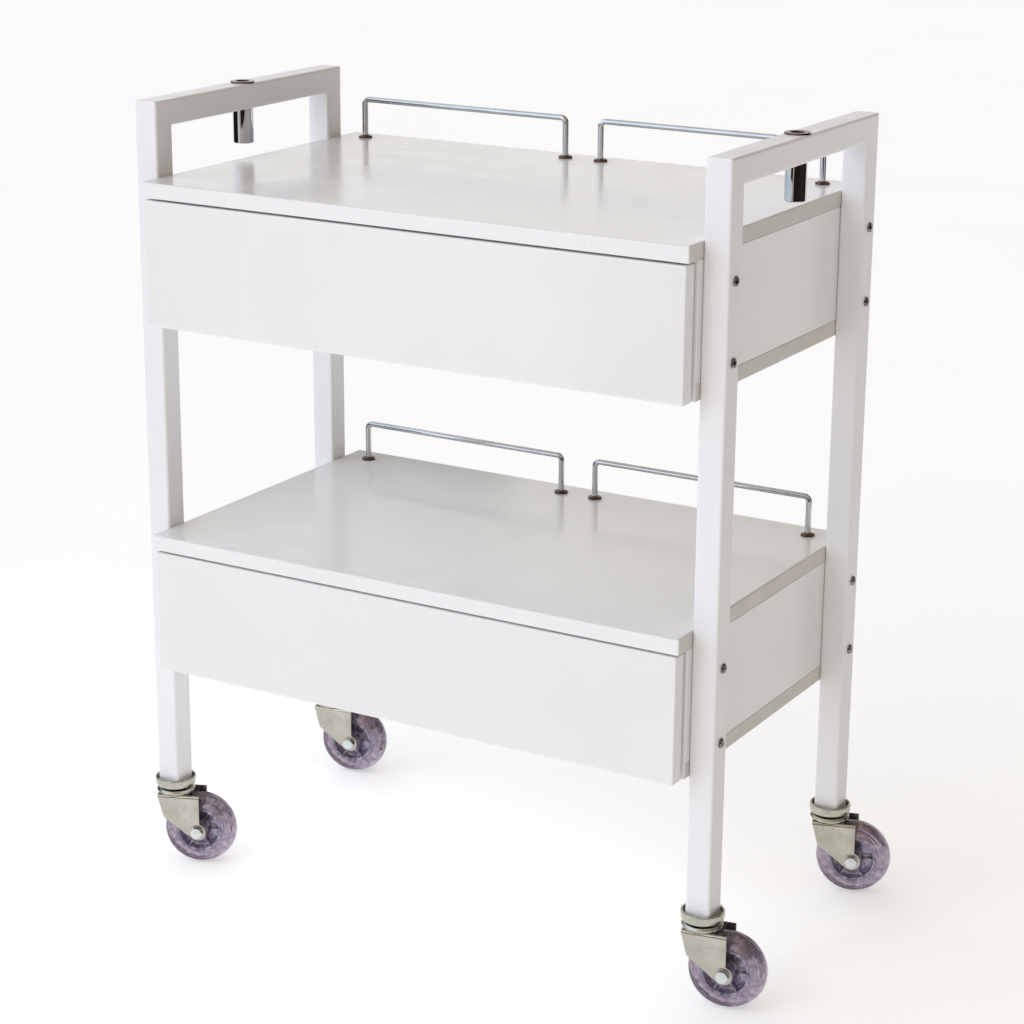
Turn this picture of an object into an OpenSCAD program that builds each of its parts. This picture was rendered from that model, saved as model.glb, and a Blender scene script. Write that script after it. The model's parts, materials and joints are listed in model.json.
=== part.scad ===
// Rolling salon trolley. Two welded side frames of square tube stand on swivel
// casters and carry two shallow cabinets, each with one drawer and two chromed
// gallery rails. Each top rail holds a socket for a lamp or tool arm.
// Millimetres, +Z up. The origin is on the floor under the middle of the side
// frames, and the drawers open towards -Y.

/* [Side frames] */
// Width over the two side frames
trolley_w = 630; // [600:5:680]
// Depth over the legs
frame_d = 312; // [306:2:324]
// Height of the top rails above the floor
frame_h = 786; // [780:2:830]
// Outer width of the square tube
tube = 25; // [24:0.5:26]
// Wall of the square tube
tube_wall = 1.5; // [1.2:0.1:2]
// Outer corner radius of the square tube
tube_corner = 2.5; // [2:0.25:3]

/* [Accessory sockets] */
// Bore that takes the pin of a lamp or tool arm
socket_bore = 13; // [12:0.5:14]
// Outer diameter of the socket tube
socket_d = 20; // [18:0.5:20]
// Diameter of the socket's top flange
socket_flange_d = 24; // [22:0.5:24.5]
// Length of the socket below the top rail
socket_drop = 35; // [25:1:45]

/* [Cabinets] */
// Height of the lower cabinet's underside
lower_cabinet_z = 225; // [215:1:235]
// Height of the upper cabinet's underside
upper_cabinet_z = 575; // [560:1:580]
// Outer height of a cabinet
cabinet_h = 139; // [135:1:150]
// Depth of the top boards
board_d = 366; // [362:1:374]
// Thickness of the white boards
board_t = 15; // [14:0.5:16]
// Thickness of a cabinet's back panel
back_t = 12; // [8:1:15]
// How far the cabinet's front edges stand back from the top board's front
carcass_setback = 18.5; // [18:0.25:22]

/* [Drawers] */
// Thickness of the drawer front
front_t = 16; // [15:0.5:16]
// How much narrower the drawer front is than the board, each side
front_inset = 2; // [1.5:0.5:4]
// Gap between the drawer front and the top board
front_gap = 2; // [1.5:0.25:3]
// Thickness of the drawer's sides and back
box_t = 12; // [10:1:13]
// Height of the drawer's sides
box_h = 80; // [60:1:85]
// Length of the drawer's sides
box_d = 317; // [315:1:320]
// Thickness of the drawer's bottom sheet
sheet_t = 4; // [3:0.5:5]
// How far the drawer opens
drawer_travel = 225; // [150:5:235]

/* [Gallery rails] */
// Diameter of the rail rod
rod_d = 6; // [5:0.5:7]
// Height of a rail over its board
rail_h = 43; // [30:1:46]
// Distance between a rail's two posts
rail_w = 240; // [200:1:245]
// Distance of the first post from the trolley's middle
rail_start = 20; // [15:1:24]
// Distance of the posts from the middle of the board
rail_y = 156; // [154:1:160]
// Centreline radius of the rod's bends
rail_bend = 5.5; // [4:0.5:12]

/* [Casters] */
// Wheel diameter
wheel_d = 75; // [72:1:76]
// Width of the tyre
tyre_w = 23; // [20:1:25]
// Distance of the wheel axle from the swivel axis
caster_trail = 25.5; // [24:0.5:27]
// Width over the fork
fork_w = 35; // [34:0.5:37]
// Thickness of the fork's sheet metal
fork_t = 2.2; // [1.8:0.1:2.5]
// Heading of the front left, front right, rear left and rear right casters
caster_turn = [22, 10, 12, 17];

/* [Hidden] */

$fn = 48;
eps = 1;                                  // how far a cutter runs past a face
coat = [0.93, 0.93, 0.94];                // white powder coat
board_white = [0.92, 0.92, 0.91];
epoxy_white = [0.86, 0.86, 0.85];
zinc = [0.72, 0.72, 0.66];
chrome = [0.78, 0.79, 0.80];

leg_x = trolley_w / 2 - tube / 2;
leg_y = frame_d / 2 - tube / 2;
inner_x = trolley_w / 2 - tube;           // the boards' ends and the frames' inner faces
board_y = board_d / 2;

// Caster heights
fork_top = 76.5;
race_h = 4.5;                             // lower ball race on the fork
race_r = 19.5;
race_gap = 0.6;
cup_z = fork_top + race_h + race_gap;
cup_floor = 2.4;
cup_h = 11;
cup_r = 20.5;
leg_foot = cup_z + cup_floor;
stem_r = 5;
stem_reach = 24;                          // stem above the leg's foot
foot_plug = 14;                           // threaded block welded in the leg's foot
axle_z = wheel_d / 2;
axle_r = 4;
hub_r = 24;
run_gap = 0.05;                           // radial clearance of a running fit

// Frame screws: two rows through each leg into the side panels
screw_r = 2.4;
screw_hole_r = 2.5;
screw_tip = inner_x - board_t + 1.5;
screw_rise = 35.6;                        // from the cabinet's mid-height

// Drawer box and runners, measured from a cabinet's underside
side_in = inner_x - board_t;              // inner face of the side panel
runner_gap = 12.5;
box_x = side_in - runner_gap;             // outer face of the drawer's side
box_z = board_t + 8;                      // underside of the drawer's side
front_y = -board_y;
box_y = front_y + front_t;                // the drawer front's back face
groove = 5;
sheet_z = box_z + 8;
steel_t = 1.2;
roller_r = 9.5;
roller_play = 0.3;
roller_z = box_z + 9;
pin_r = 2;
channel_half = roller_r + roller_play;    // half the clear height of the channel
front_roller_y = -150;
rear_roller_y = 126;
cab_runner_y = [-162, 138];
box_runner_y = [-166, 136];

function cabinet_z(tier) = tier == 0 ? lower_cabinet_z : upper_cabinet_z;

// ---- helpers ----

module rounded_square(w, r) {
  square([w, w - 2 * r], center = true);
  square([w - 2 * r, w], center = true);
  for (x = [-1, 1], y = [-1, 1]) translate([x, y] * (w / 2 - r)) circle(r);
}

module tube_section() {
  difference() {
    rounded_square(tube, tube_corner);
    rounded_square(tube - 2 * tube_wall, max(tube_corner - tube_wall, 0.5));
  }
}

// Half-space on one side of the mitre at the rear end; up = 1 removes what lies above it
module mitre_cut(up) {
  translate([0, frame_d / 2, frame_h]) rotate([45, 0, 0])
    translate([-tube, -3 * tube, up > 0 ? 0 : -3 * tube]) cube([2 * tube, 6 * tube, 3 * tube]);
}

module on_side(s) mirror([s < 0 ? 1 : 0, 0, 0]) children();
module on_end(e) mirror([0, e < 0 ? 1 : 0, 0]) children();

// A box from its lowest to its highest corner
module block(low, high) translate(low) cube(high - low);

module screw_heights() {
  for (tier = [0, 1], up = [-1, 1])
    translate([0, 0, cabinet_z(tier) + cabinet_h / 2 + up * screw_rise]) children();
}

// ---- side frames ----

// Leg with its threaded foot and the holes of the frame screws
module leg(s, e) {
  color(coat) on_side(s) on_end(e) difference() {
    translate([leg_x, leg_y, 0]) difference() {
      union() {
        translate([0, 0, leg_foot]) linear_extrude(frame_h - leg_foot) tube_section();
        translate([0, 0, leg_foot]) linear_extrude(foot_plug) rounded_square(tube, tube_corner);
      }
      translate([0, 0, leg_foot - eps]) cylinder(r = stem_r + run_gap, h = foot_plug + 2 * eps);
      screw_heights() rotate([0, 90, 0]) cylinder(r = screw_hole_r, h = 2 * tube, center = true);
    }
    translate([leg_x, 0, 0]) mitre_cut(1);
  }
}

module top_rail(s) {
  color(coat) on_side(s) translate([leg_x, 0, 0]) difference() {
    translate([0, 0, frame_h - tube / 2]) rotate([90, 0, 0])
      linear_extrude(frame_d, center = true) tube_section();
    for (e = [-1, 1]) on_end(e) mitre_cut(-1);
    translate([0, 0, frame_h - 2 * tube]) cylinder(r = socket_d / 2 + run_gap, h = 3 * tube);
  }
}

// Flanged socket tube, its mouth slightly bevelled
module accessory_socket(s) {
  b = socket_bore / 2;
  o = socket_d / 2;
  f = socket_flange_d / 2;
  top = 1.6;
  color(chrome) translate([s * leg_x, 0, frame_h]) rotate_extrude()
    polygon([[b, -tube - socket_drop], [o - 0.5, -tube - socket_drop],
             [o, -tube - socket_drop + 0.5], [o, 0], [f, 0], [f, top - 0.6],
             [f - 0.6, top], [b + 0.8, top], [b, top - 0.8]]);
}

// Pan head screw along +X, its head on the leg's outer face
module frame_screw() {
  head_r = 4.6;
  head_h = 2.8;
  difference() {
    union() {
      translate([screw_tip, 0, 0]) rotate([0, 90, 0])
        cylinder(r = screw_r, h = trolley_w / 2 - screw_tip + 0.5);
      translate([trolley_w / 2, 0, 0]) rotate([0, 90, 0]) rotate_extrude()
        polygon([[0, 0], [head_r, 0], [head_r, 1.2], [head_r - 0.9, 2.2], [head_r - 2.2, head_h],
                 [0, head_h]]);
    }
    for (turn = [0, 90]) translate([trolley_w / 2 + head_h, 0, 0]) rotate([turn, 0, 0])
      cube([3, 0.9, 5], center = true);
  }
}

module frame_screws() {
  color([0.35, 0.35, 0.33])
    for (s = [-1, 1], e = [-1, 1]) on_side(s) on_end(e) translate([0, leg_y, 0])
      screw_heights() frame_screw();
}

// ---- cabinets ----

module top_board(tier) {
  z = cabinet_z(tier) + cabinet_h;
  color(board_white) difference() {
    block([-inner_x, -board_y, z - board_t], [inner_x, board_y, z]);
    rail_posts() translate([0, rail_y, z - board_t - eps])
      cylinder(r = rod_d / 2 + 0.1, h = board_t + 2 * eps);
  }
}

module side_panel(tier, s) {
  z = cabinet_z(tier);
  color(board_white) on_side(s) difference() {
    block([side_in, carcass_setback - board_y, z + board_t], [inner_x, board_y, z + cabinet_h - board_t]);
    for (e = [-1, 1], up = [-1, 1])
      translate([screw_tip, e * leg_y, z + cabinet_h / 2 + up * screw_rise]) rotate([0, 90, 0])
        cylinder(r = screw_hole_r, h = 2 * board_t);
  }
}

module bottom_board(tier) {
  z = cabinet_z(tier);
  color(board_white)
    block([-inner_x, carcass_setback - board_y, z], [inner_x, board_y, z + board_t]);
}

module back_panel(tier) {
  z = cabinet_z(tier);
  color(board_white)
    block([-side_in, board_y - back_t, z + board_t], [side_in, board_y, z + cabinet_h - board_t]);
}

// ---- gallery rails ----

module rail_posts() {
  for (s = [-1, 1], x = [rail_start, rail_start + rail_w]) translate([s * x, 0, 0]) children();
}

// One rod, bent at both ends and run through the board
module gallery_rail(tier, s) {
  z = cabinet_z(tier) + cabinet_h;
  top = z + rail_h - rod_d / 2;
  foot = z - board_t - 8;
  color(chrome) on_side(s) translate([rail_start, rail_y, 0]) {
    for (x = [0, rail_w]) translate([x, 0, foot]) cylinder(d = rod_d, h = top - rail_bend - foot);
    translate([rail_bend, 0, top]) rotate([0, 90, 0])
      cylinder(d = rod_d, h = rail_w - 2 * rail_bend);
    translate([rail_bend, 0, top - rail_bend]) rotate([90, 0, 0]) rotate([0, 0, 90])
      rotate_extrude(angle = 90) translate([rail_bend, 0]) circle(d = rod_d);
    translate([rail_w - rail_bend, 0, top - rail_bend]) rotate([90, 0, 0])
      rotate_extrude(angle = 90) translate([rail_bend, 0]) circle(d = rod_d);
  }
}

module gallery_flanges() {
  color(chrome) for (tier = [0, 1]) rail_posts()
    translate([0, rail_y, cabinet_z(tier) + cabinet_h]) rotate_extrude()
      polygon([[rod_d / 2 + 0.1, 0], [7, 0], [7, 1.2], [5.8, 2.4], [4.4, 3], [rod_d / 2 + 0.1, 3]]);
}

module gallery_nuts() {
  color(zinc) for (tier = [0, 1]) rail_posts()
    translate([0, rail_y, cabinet_z(tier) + cabinet_h - board_t - 5]) difference() {
      cylinder(d = 10 / cos(30), h = 5, $fn = 6);
      translate([0, 0, -eps]) cylinder(r = rod_d / 2 + run_gap, h = 5 + 2 * eps);
    }
}

// ---- runners ----

// Channel screwed to the side panel, with the pin of the front roller
module cabinet_runners(tier) {
  z = cabinet_z(tier) + roller_z;
  low = z - channel_half - steel_t;
  high = z + channel_half + steel_t;
  web = side_in - steel_t;
  ys = cab_runner_y;
  color(epoxy_white) for (s = [-1, 1]) on_side(s) {
    block([web, ys[0], low], [side_in, ys[1], high]);
    block([box_x + 1.7, ys[0], low], [side_in, ys[1], low + steel_t]);
    block([side_in - 5.2, ys[0], high - steel_t], [side_in, ys[1], high]);
    translate([box_x + 2.5, front_roller_y, z]) rotate([0, 90, 0])
      cylinder(r = pin_r, h = web - box_x - 2);
    translate([box_x + 1.7, front_roller_y, z]) rotate([0, 90, 0]) cylinder(r = 3.4, h = 0.8);
  }
}

// Angle under the drawer's side, with the running flange and the rear roller's pin
module drawer_runners(tier) {
  z = cabinet_z(tier) + roller_z;
  low = cabinet_z(tier) + box_z - steel_t;
  high = z + channel_half + steel_t;
  ys = box_runner_y;
  color(epoxy_white) for (s = [-1, 1]) on_side(s) {
    block([box_x, ys[0], low], [box_x + steel_t, ys[1], high]);
    block([box_x - box_t, ys[0], low], [box_x + steel_t, ys[1], low + steel_t]);
    block([box_x, ys[0], high - steel_t], [box_x + 6.8, ys[1], high]);
    translate([box_x + 0.5, rear_roller_y, z]) rotate([0, 90, 0]) cylinder(r = pin_r, h = 9.8);
    translate([box_x + 10.1, rear_roller_y, z]) rotate([0, 90, 0]) cylinder(r = 3.4, h = 0.7);
  }
}

// A pair of nylon rollers on one axis line
module rollers(tier, y, x) {
  color([0.95, 0.95, 0.93]) for (s = [-1, 1]) on_side(s)
    translate([x, y, cabinet_z(tier) + roller_z]) rotate([0, 90, 0]) rotate_extrude()
      polygon([[pin_r + run_gap, 0], [roller_r - 0.6, 0], [roller_r, 0.6], [roller_r, 6.6],
               [roller_r - 0.6, 7.2], [pin_r + run_gap, 7.2]]);
}

module front_rollers(tier) rollers(tier, front_roller_y, box_x + 2.7);
module rear_rollers(tier) rollers(tier, rear_roller_y, box_x + 1.7);

// ---- drawers ----

module drawer_front(tier) {
  z = cabinet_z(tier);
  w = inner_x - front_inset;
  color(board_white)
    block([-w, front_y, z], [w, box_y, z + cabinet_h - board_t - front_gap]);
}

module drawer_side(tier, s) {
  z = cabinet_z(tier);
  color(board_white) on_side(s) difference() {
    block([box_x - box_t, box_y, z + box_z], [box_x, box_y + box_d, z + box_z + box_h]);
    block([box_x - box_t - eps, box_y - eps, z + sheet_z],
          [box_x - box_t + groove, box_y + box_d + eps, z + sheet_z + sheet_t]);
  }
}

module drawer_back(tier) {
  z = cabinet_z(tier);
  x = box_x - box_t;
  y = box_y + box_d;
  color(board_white) block([-x, y - box_t, z + sheet_z + sheet_t], [x, y, z + box_z + box_h]);
}

module drawer_bottom(tier) {
  z = cabinet_z(tier) + sheet_z;
  x = box_x - box_t + groove;
  color(board_white) block([-x, box_y, z], [x, box_y + box_d, z + sheet_t]);
}

// ---- casters ----

// Places a caster's parts: i = 0 front left, 1 front right, 2 rear left, 3 rear right
module at_caster(i) {
  s = i % 2 == 0 ? -1 : 1;
  e = i < 2 ? -1 : 1;
  translate([s * leg_x, e * leg_y, 0]) rotate([0, 0, caster_turn[i]]) children();
}

// Cup, threaded stem and riveted head of the swivel: one fixed unit
module caster_stem() {
  wall = 2.4;
  rivet = 3;
  below = fork_t + 0.6;
  rotate_extrude() polygon([
    [0, fork_top - below - rivet], [7, fork_top - below - rivet], [8, fork_top - below - 2],
    [8, fork_top - below], [stem_r, fork_top - below], [stem_r, cup_z],
    [cup_r - 3.6, cup_z], [cup_r - 0.8, cup_z + 3], [cup_r, cup_z + 5.5],
    [cup_r, cup_z + cup_h - 1.2], [cup_r - 0.7, cup_z + cup_h],
    [cup_r - 1.6, cup_z + cup_h], [cup_r - wall, cup_z + cup_h - 1.2],
    [cup_r - wall, cup_z + 5.6], [cup_r - 3.6, leg_foot], [stem_r, leg_foot],
    [stem_r, leg_foot + stem_reach - 1], [stem_r - 1, leg_foot + stem_reach],
    [0, leg_foot + stem_reach]]);
}

module caster_stems() {
  color(zinc) for (i = [0:3]) at_caster(i) caster_stem();
}

// Side of the fork, drawn along the trail and upwards
module fork_cheek() {
  r = 9;
  front = [-9.5, 52.5];
  reach = [caster_trail, axle_z] - front;
  len = norm(reach);
  turn = atan2(reach[1], reach[0]) - asin(r / len);
  foot = front + sqrt(len * len - r * r) * [cos(turn), sin(turn)];
  difference() {
    union() {
      polygon([[-15.7, fork_top], front, foot, [caster_trail, axle_z],
               [caster_trail + 2.5, axle_z], [caster_trail + 2.5, fork_top]]);
      translate([caster_trail, axle_z]) circle(r);
    }
    translate([caster_trail, axle_z]) circle(axle_r + run_gap);
  }
}

module fork(i) {
  color(zinc) at_caster(i) difference() {
    union() {
      for (side = [fork_w / 2, fork_t - fork_w / 2])
        translate([0, side, 0]) rotate([90, 0, 0]) linear_extrude(fork_t) fork_cheek();
      block([-15.7, -fork_w / 2, fork_top - fork_t], [16, fork_w / 2, fork_top]);
      translate([0, 0, fork_top - fork_t]) rotate_extrude()
        polygon([[0, 0], [17, 0], [race_r, fork_t], [race_r, fork_t + race_h - 1.6],
                 [race_r - 1.6, fork_t + race_h], [0, fork_t + race_h]]);
    }
    translate([0, 0, fork_top - 3 * fork_t])
      cylinder(r = stem_r + run_gap, h = race_h + 5 * fork_t);
  }
}

// Axle bolt with its hexagon head towards -Y and its nut on the far side
module axle(i) {
  head = 4.5;
  color(zinc) at_caster(i) translate([caster_trail, 0, axle_z]) rotate([90, 0, 0]) {
    cylinder(r = axle_r, h = fork_w + 6, center = true);
    translate([0, 0, fork_w / 2]) cylinder(d = 12 / cos(30), h = head, $fn = 6);
    translate([0, 0, -fork_w / 2 - 6]) cylinder(d = 13 / cos(30), h = 6, $fn = 6);
  }
}

module at_wheel(i) {
  at_caster(i) translate([caster_trail, 0, axle_z]) rotate([90, 0, 0]) children();
}

// Crowned tyre
module tyre(i) {
  crown = 16;
  color([0.62, 0.58, 0.66]) at_wheel(i) rotate_extrude($fn = 96) intersection() {
    translate([wheel_d / 2 - crown, 0]) circle(crown, $fn = 96);
    translate([hub_r, -tyre_w / 2]) square([wheel_d, tyre_w]);
  }
}

// Core: boss, web and rim, with six ribs on each side of the web
module hub(i) {
  boss_r = 9;
  boss_w = fork_w / 2 - fork_t - 0.5;
  rim_w = tyre_w / 2 - 1;
  web = 2.5;
  rib_w = 2;
  rib_reach = rim_w - 2.5;
  color([0.66, 0.63, 0.70]) at_wheel(i) {
    rotate_extrude() polygon([
      [axle_r + run_gap, -boss_w], [boss_r - 1, -boss_w], [boss_r, 1 - boss_w], [boss_r, -web],
      [hub_r - 3, -web], [hub_r - 3, -rim_w], [hub_r, -rim_w], [hub_r, rim_w],
      [hub_r - 3, rim_w], [hub_r - 3, web], [boss_r, web], [boss_r, boss_w - 1],
      [boss_r - 1, boss_w], [axle_r + run_gap, boss_w]]);
    for (k = [0:5]) rotate(60 * k)
      block([boss_r - 1, -rib_w / 2, -rib_reach], [hub_r - 1.5, rib_w / 2, rib_reach]);
  }
}

leg(-1, -1);  // left_front_leg
leg(1, -1);  // right_front_leg
leg(-1, 1);  // left_rear_leg
leg(1, 1);  // right_rear_leg
top_rail(-1);  // left_top_rail
top_rail(1);  // right_top_rail
accessory_socket(-1);  // left_accessory_socket
accessory_socket(1);  // right_accessory_socket
caster_stems();
frame_screws();
top_board(1);  // upper_top_board
side_panel(1, -1);  // upper_left_side_panel
side_panel(1, 1);  // upper_right_side_panel
bottom_board(1);  // upper_bottom_board
back_panel(1);  // upper_back_panel
top_board(0);  // lower_top_board
side_panel(0, -1);  // lower_left_side_panel
side_panel(0, 1);  // lower_right_side_panel
bottom_board(0);  // lower_bottom_board
back_panel(0);  // lower_back_panel
gallery_rail(1, -1);  // upper_left_gallery_rail
gallery_rail(1, 1);  // upper_right_gallery_rail
gallery_rail(0, -1);  // lower_left_gallery_rail
gallery_rail(0, 1);  // lower_right_gallery_rail
gallery_flanges();
gallery_nuts();
cabinet_runners(1);  // upper_cabinet_runners
cabinet_runners(0);  // lower_cabinet_runners
drawer_front(1);  // upper_drawer_front
drawer_side(1, -1);  // upper_drawer_left_side
drawer_side(1, 1);  // upper_drawer_right_side
drawer_back(1);  // upper_drawer_back
drawer_bottom(1);  // upper_drawer_bottom
drawer_runners(1);  // upper_drawer_runners
drawer_front(0);  // lower_drawer_front
drawer_side(0, -1);  // lower_drawer_left_side
drawer_side(0, 1);  // lower_drawer_right_side
drawer_back(0);  // lower_drawer_back
drawer_bottom(0);  // lower_drawer_bottom
drawer_runners(0);  // lower_drawer_runners
front_rollers(1);  // upper_front_rollers
rear_rollers(1);  // upper_rear_rollers
front_rollers(0);  // lower_front_rollers
rear_rollers(0);  // lower_rear_rollers
fork(0);  // front_left_fork
axle(0);  // front_left_axle
tyre(0);  // front_left_tyre
hub(0);  // front_left_hub
fork(1);  // front_right_fork
axle(1);  // front_right_axle
tyre(1);  // front_right_tyre
hub(1);  // front_right_hub
fork(2);  // rear_left_fork
axle(2);  // rear_left_axle
tyre(2);  // rear_left_tyre
hub(2);  // rear_left_hub
fork(3);  // rear_right_fork
axle(3);  // rear_right_axle
tyre(3);  // rear_right_tyre
hub(3);  // rear_right_hub
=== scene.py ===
# Rolling salon trolley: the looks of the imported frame.
# Metres, in the frame's own axes: +Z up, the drawers open towards -Y.
# Shapes are drawn in millimetres and scaled when their mesh is made.
import json
import math

import bmesh
import bpy
from mathutils import Matrix, Vector


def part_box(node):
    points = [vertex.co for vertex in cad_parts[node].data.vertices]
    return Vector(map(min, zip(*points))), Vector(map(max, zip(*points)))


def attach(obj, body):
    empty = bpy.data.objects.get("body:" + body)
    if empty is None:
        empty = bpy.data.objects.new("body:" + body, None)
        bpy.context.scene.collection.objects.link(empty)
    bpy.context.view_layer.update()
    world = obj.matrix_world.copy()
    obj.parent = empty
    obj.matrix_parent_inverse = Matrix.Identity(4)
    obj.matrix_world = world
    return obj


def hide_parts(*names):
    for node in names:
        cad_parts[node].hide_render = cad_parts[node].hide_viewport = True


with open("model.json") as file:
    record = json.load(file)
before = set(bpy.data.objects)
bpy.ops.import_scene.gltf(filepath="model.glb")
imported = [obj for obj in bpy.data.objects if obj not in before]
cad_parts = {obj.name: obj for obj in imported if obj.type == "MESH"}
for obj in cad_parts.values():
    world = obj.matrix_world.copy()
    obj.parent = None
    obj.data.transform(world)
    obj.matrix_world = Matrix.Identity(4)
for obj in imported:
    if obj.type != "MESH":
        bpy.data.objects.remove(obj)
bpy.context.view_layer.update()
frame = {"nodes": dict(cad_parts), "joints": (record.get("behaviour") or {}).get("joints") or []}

MM = 0.001
TIERS = ("upper", "lower")
SIDES = {"left": -1, "right": 1}
CASTERS = [f"{end}_{side}" for end in ("front", "rear") for side in SIDES]
JOINTS = {joint["name"]: joint for joint in frame["joints"]}
QUARTER = math.radians(90)
TURN_X = Matrix.Rotation(QUARTER, 4, "X")
TURN_Y = Matrix.Rotation(QUARTER, 4, "Y")
TURN_Z = Matrix.Rotation(QUARTER, 4, "Z")
TINY = 1e-6


def node_box(node):
    """Lowest and highest corner of a CAD node, in millimetres."""
    low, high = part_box(node)
    return low / MM, high / MM


# ---- shapes, in millimetres ----


def make_mesh(bm, name, crease=32):
    """Turns a bmesh drawn in millimetres into a smooth-shaded mesh in metres."""
    bmesh.ops.recalc_face_normals(bm, faces=bm.faces)
    bm.transform(Matrix.Scale(MM, 4))
    mesh = bpy.data.meshes.new(name)
    bm.to_mesh(mesh)
    bm.free()
    mesh.shade_smooth()
    mesh.set_sharp_from_angle(angle=math.radians(crease))
    return mesh


def rounded(points, radius, steps=4):
    """Rounds the corners of a closed outline. A third number is a corner's own radius."""
    straight = math.radians(89)
    most = 0.49
    outline = []
    for i, point in enumerate(points):
        corner = Vector(point[:2])
        before = Vector(points[i - 1][:2]) - corner
        after = Vector(points[(i + 1) % len(points)][:2]) - corner
        own = point[2] if len(point) > 2 else radius
        half = before.angle(after) / 2
        if own < TINY or half > straight:
            outline.append(tuple(corner))
            continue
        reach = min(own / math.tan(half), most * before.length, most * after.length)
        middle = (before.normalized() + after.normalized()).normalized()
        centre = corner + middle * (reach / math.cos(half))
        start = corner + before.normalized() * reach - centre
        end = corner + after.normalized() * reach - centre
        turn = math.atan2(start.cross(end), start.dot(end))
        for k in range(steps + 1):
            spoke = Matrix.Rotation(turn * k / steps, 2) @ start
            outline.append(tuple(centre + spoke))
    return outline


def add_rings(bm, rings):
    """Joins each ring of vertices to the next, and the last to the first."""
    for ring, other in zip(rings, rings[1:] + rings[:1]):
        steps = max(len(ring), len(other))
        if steps == 1:
            continue
        for k in range(steps):
            n = (k + 1) % steps
            corners = [ring[k % len(ring)], ring[n % len(ring)]]
            corners += [other[n % len(other)], other[k % len(other)]]
            bm.faces.new(dict.fromkeys(corners))


def add_lathe(bm, profile, place=Matrix(), steps=64):
    """Adds a closed (radius, height) outline turned about Z."""
    rings = []
    for radius, height in profile:
        ring = []
        for k in range(steps if radius > TINY else 1):
            turn = 2 * math.pi * k / steps
            spot = Vector((radius * math.cos(turn), radius * math.sin(turn), height))
            ring.append(bm.verts.new(place @ spot))
        rings.append(ring)
    add_rings(bm, rings)


def bevel(bm, rims, edge, steps, clamp=False):
    """Rounds edges of a bmesh and returns what that made."""
    return bmesh.ops.bevel(
        bm,
        geom=rims,
        offset=edge,
        segments=steps,
        profile=0.5,
        affect="EDGES",
        clamp_overlap=clamp,
    )


def add_box(bm, low, high, edge=0.0, steps=2):
    """Adds a box from its lowest to its highest corner, with rounded edges."""
    low, high = Vector(low), Vector(high)
    verts = bmesh.ops.create_cube(bm, size=1.0)["verts"]
    bmesh.ops.scale(bm, vec=high - low, verts=verts)
    bmesh.ops.translate(bm, vec=(low + high) / 2, verts=verts)
    if edge:
        rims = dict.fromkeys(rim for vert in verts for rim in vert.link_edges)
        bevel(bm, list(rims), edge, steps)


def add_plate(bm, outline, low, high, edge=0.0, place=Matrix(), steps=2):
    """Adds an outline in XY, stretched from low to high in Z, with rounded rims."""
    bottom = [bm.verts.new((x, y, low)) for x, y in outline]
    top = [bm.verts.new((x, y, high)) for x, y in outline]
    caps = [bm.faces.new(bottom), bm.faces.new(top)]
    for k, vert in enumerate(bottom):
        n = (k + 1) % len(bottom)
        bm.faces.new((vert, bottom[n], top[n], top[k]))
    made = set(bottom + top)
    if edge:
        rims = dict.fromkeys(rim for cap in caps for rim in cap.edges)
        result = bevel(bm, list(rims), edge, steps)
        made = {vert for vert in made if vert.is_valid} | set(result["verts"])
    bmesh.ops.transform(bm, matrix=place, verts=list(made))


def add_rod(bm, path, radii, steps):
    """Adds a rod along a path in the XZ plane, with a radius for each point."""
    rings = []
    across = Vector((0, 1, 0))
    points = [Vector(point) for point in path]
    for k, point in enumerate(points):
        ahead = points[min(k + 1, len(points) - 1)]
        behind = points[max(k - 1, 0)]
        along = (ahead - behind).normalized()
        side = along.cross(across)
        ring = []
        for n in range(steps):
            turn = 2 * math.pi * n / steps
            spoke = side * math.cos(turn) + across * math.sin(turn)
            ring.append(bm.verts.new(point + spoke * radii[k]))
        rings.append(ring)
    start = [bm.verts.new(points[0])]
    end = [bm.verts.new(points[-1])]
    add_rings(bm, [start] + rings + [end])


def add_hexagon(bm, across, height, place=Matrix(), steps=60):
    """Adds a hexagon head or nut on z = 0, its top corners chamfered as a turned one's are."""
    flat = across / 2
    foot, crown = 0.95 * flat, 0.96 * flat
    foot_height = 0.4
    slope = math.tan(math.radians(30))

    def reach(k):
        return flat / math.cos((2 * math.pi * k / steps) % (math.pi / 3) - math.pi / 6)

    def ring(size, level):
        verts = []
        for k in range(steps):
            turn = 2 * math.pi * k / steps
            radius = size(k)
            spot = Vector((radius * math.cos(turn), radius * math.sin(turn), level(k)))
            verts.append(bm.verts.new(place @ spot))
        return verts

    def chamfer(k):
        return height - max(0.0, reach(k) - crown) * slope

    rings = [[bm.verts.new(place @ Vector((0, 0, 0)))]]
    rings.append(ring(lambda k: foot, lambda k: 0.0))
    rings.append(ring(lambda k: foot, lambda k: foot_height))
    rings.append(ring(reach, lambda k: foot_height))
    rings.append(ring(reach, chamfer))
    rings.append(ring(lambda k: crown, lambda k: height))
    rings.append([bm.verts.new(place @ Vector((0, 0, height)))])
    add_rings(bm, rings)


def link_object(name, data):
    """Makes an object of its data in the scene."""
    made = bpy.data.objects.new(name, data)
    bpy.context.scene.collection.objects.link(made)
    return made


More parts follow.
